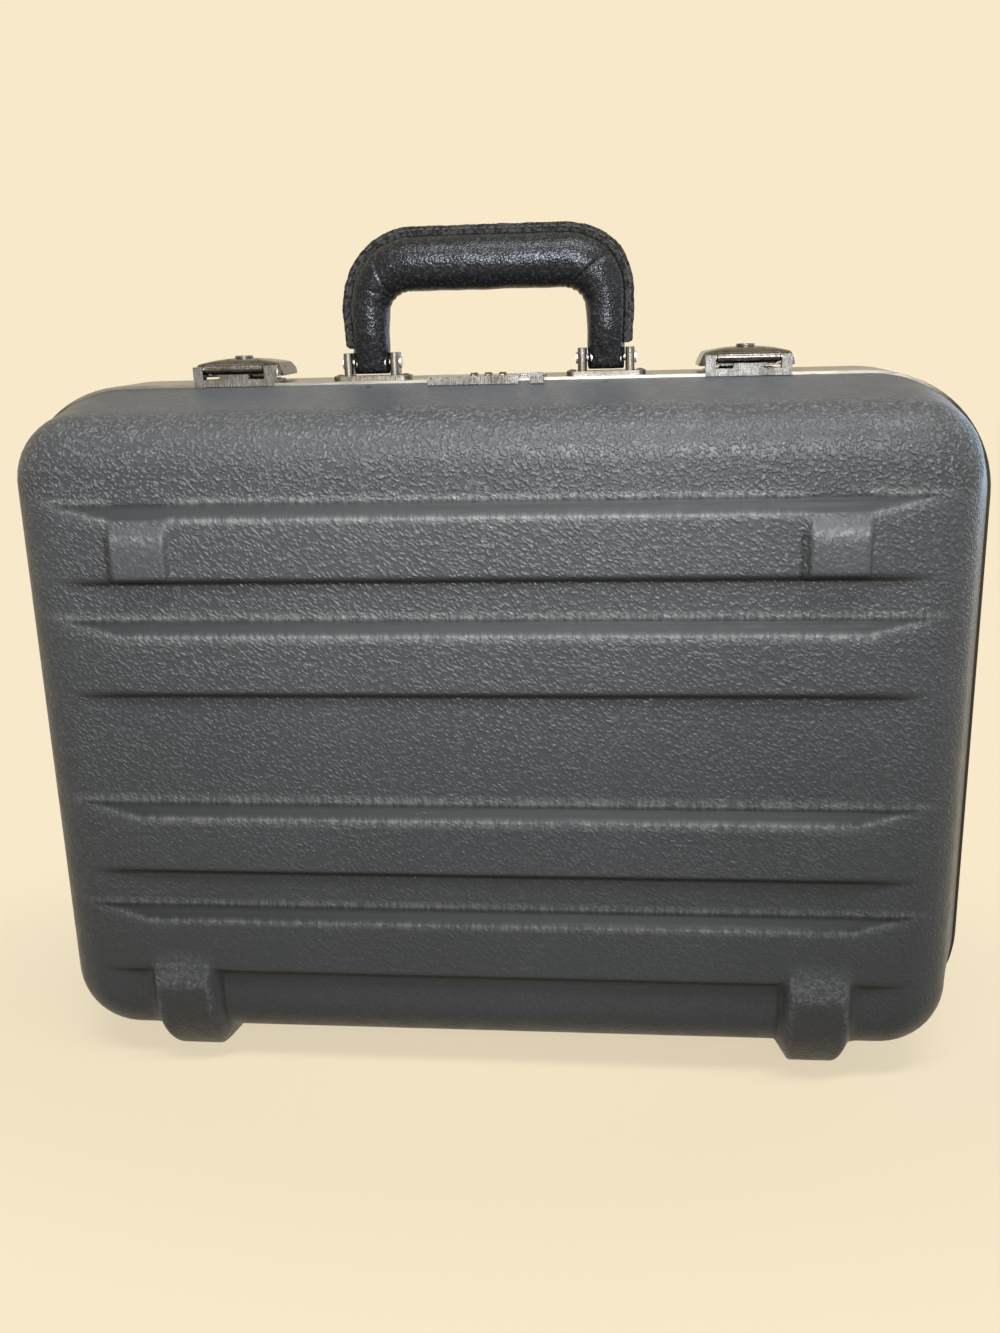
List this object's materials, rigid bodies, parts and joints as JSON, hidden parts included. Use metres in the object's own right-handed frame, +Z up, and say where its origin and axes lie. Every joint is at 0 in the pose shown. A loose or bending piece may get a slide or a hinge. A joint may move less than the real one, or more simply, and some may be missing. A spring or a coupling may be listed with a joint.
{
  "type": "laptop hard case",
  "caption": "Upright hard-shell laptop case with ribbed moulded shells, metal valances, hasp latches, combination lock, padded handle and foam interior.",
  "frame": {"origin": "on the floor under the middle of the case, standing on its moulded feet", "axes": "+X to the right as seen from the handle side's front, -Y towards the viewer, +Z up; the shells part at Y = 0"},
  "size_m": [0.464, 0.148, 0.4112],
  "materials": {
    "moulded_shell": "coarse moulded grain, dark grey, semi-matt",
    "valance": "satin anodised, warm silver",
    "hinge_steel": "zinc plated",
    "latch_chrome": "worn bright chrome",
    "nickel": "dull nickel",
    "leatherette": "grained black leatherette, satin",
    "dial_plastic": "black with pale figures",
    "foam": "open-cell foam, charcoal"
  },
  "bodies": {
    "root": {"front_shell": "moulded_shell", "front_valance": "valance", "left_hinge_front_leaf": "hinge_steel", "right_hinge_front_leaf": "hinge_steel", "left_hinge_pin": "hinge_steel", "right_hinge_pin": "hinge_steel", "front_hinge_rivets": "hinge_steel", "left_handle_bracket": "nickel", "right_handle_bracket": "nickel", "bracket_rivets": "nickel", "left_handle_pin": "hinge_steel", "right_handle_pin": "hinge_steel", "left_latch_base": "latch_chrome", "right_latch_base": "latch_chrome", "latch_rivets": "latch_chrome", "left_latch_pin": "hinge_steel", "right_latch_pin": "hinge_steel", "lock_plate": "latch_chrome", "lock_case": "hinge_steel", "dial_shaft": "hinge_steel", "base_foam": "foam"},
    "lid": {"back_shell": "moulded_shell", "back_valance": "valance", "left_hinge_back_leaf": "hinge_steel", "right_hinge_back_leaf": "hinge_steel", "back_hinge_rivets": "hinge_steel", "left_catch": "latch_chrome", "right_catch": "latch_chrome", "catch_rivets": "latch_chrome", "lock_strike": "hinge_steel", "strike_rivets": "valance", "lid_foam": "foam"},
    "handle": {"handle_core": "hinge_steel", "handle_grip": "leatherette", "handle_welt": "leatherette"},
    "left_latch": {"left_latch_lever": "latch_chrome", "left_key_ring": "latch_chrome"},
    "right_latch": {"right_latch_lever": "latch_chrome", "right_key_ring": "latch_chrome"},
    "left_key": {"left_key_barrel": "nickel"},
    "right_key": {"right_key_barrel": "nickel"},
    "dial_1": {"dial_1": "dial_plastic"},
    "dial_2": {"dial_2": "dial_plastic"},
    "dial_3": {"dial_3": "dial_plastic"},
    "slide": {"lock_slide": "latch_chrome", "lock_bolt": "hinge_steel"}
  },
  "joints": [
    {"name": "lid_hinge", "type": "hinge", "parent": "root", "child": "lid", "pos_m": [0, 0, 0.0042], "axis": [-1, 0, 0], "range_deg": [0, 105]},
    {"name": "handle_pivot", "type": "hinge", "parent": "root", "child": "handle", "pos_m": [0, -0.011, 0.3505], "axis": [1, 0, 0], "range_deg": [-65, 65]},
    {"name": "left_latch_pivot", "type": "hinge", "parent": "root", "child": "left_latch", "pos_m": [-0.1205, -0.02, 0.3493], "axis": [1, 0, 0], "range_deg": [0, 115]},
    {"name": "right_latch_pivot", "type": "hinge", "parent": "root", "child": "right_latch", "pos_m": [0.1205, -0.02, 0.3493], "axis": [1, 0, 0], "range_deg": [0, 115]},
    {"name": "left_key_turn", "type": "hinge", "parent": "left_latch", "child": "left_key", "pos_m": [-0.1205, -0.003, 0.3525], "axis": [0, 0, 1], "range_deg": [0, 90]},
    {"name": "right_key_turn", "type": "hinge", "parent": "right_latch", "child": "right_key", "pos_m": [0.1205, -0.003, 0.3525], "axis": [0, 0, 1], "range_deg": [0, 90]},
    {"name": "dial_1_spin", "type": "hinge", "parent": "root", "child": "dial_1", "pos_m": [-0.0068, -0.0122, 0.3367], "axis": [1, 0, 0], "continuous": true},
    {"name": "dial_2_spin", "type": "hinge", "parent": "root", "child": "dial_2", "pos_m": [0, -0.0122, 0.3367], "axis": [1, 0, 0], "continuous": true},
    {"name": "dial_3_spin", "type": "hinge", "parent": "root", "child": "dial_3", "pos_m": [0.0068, -0.0122, 0.3367], "axis": [1, 0, 0], "continuous": true},
    {"name": "release_slide", "type": "slide", "parent": "root", "child": "slide", "axis": [-1, 0, 0], "range_m": [0, 0.005], "stiffness_N_per_m": 200, "springref_m": -0.001}
  ]
}
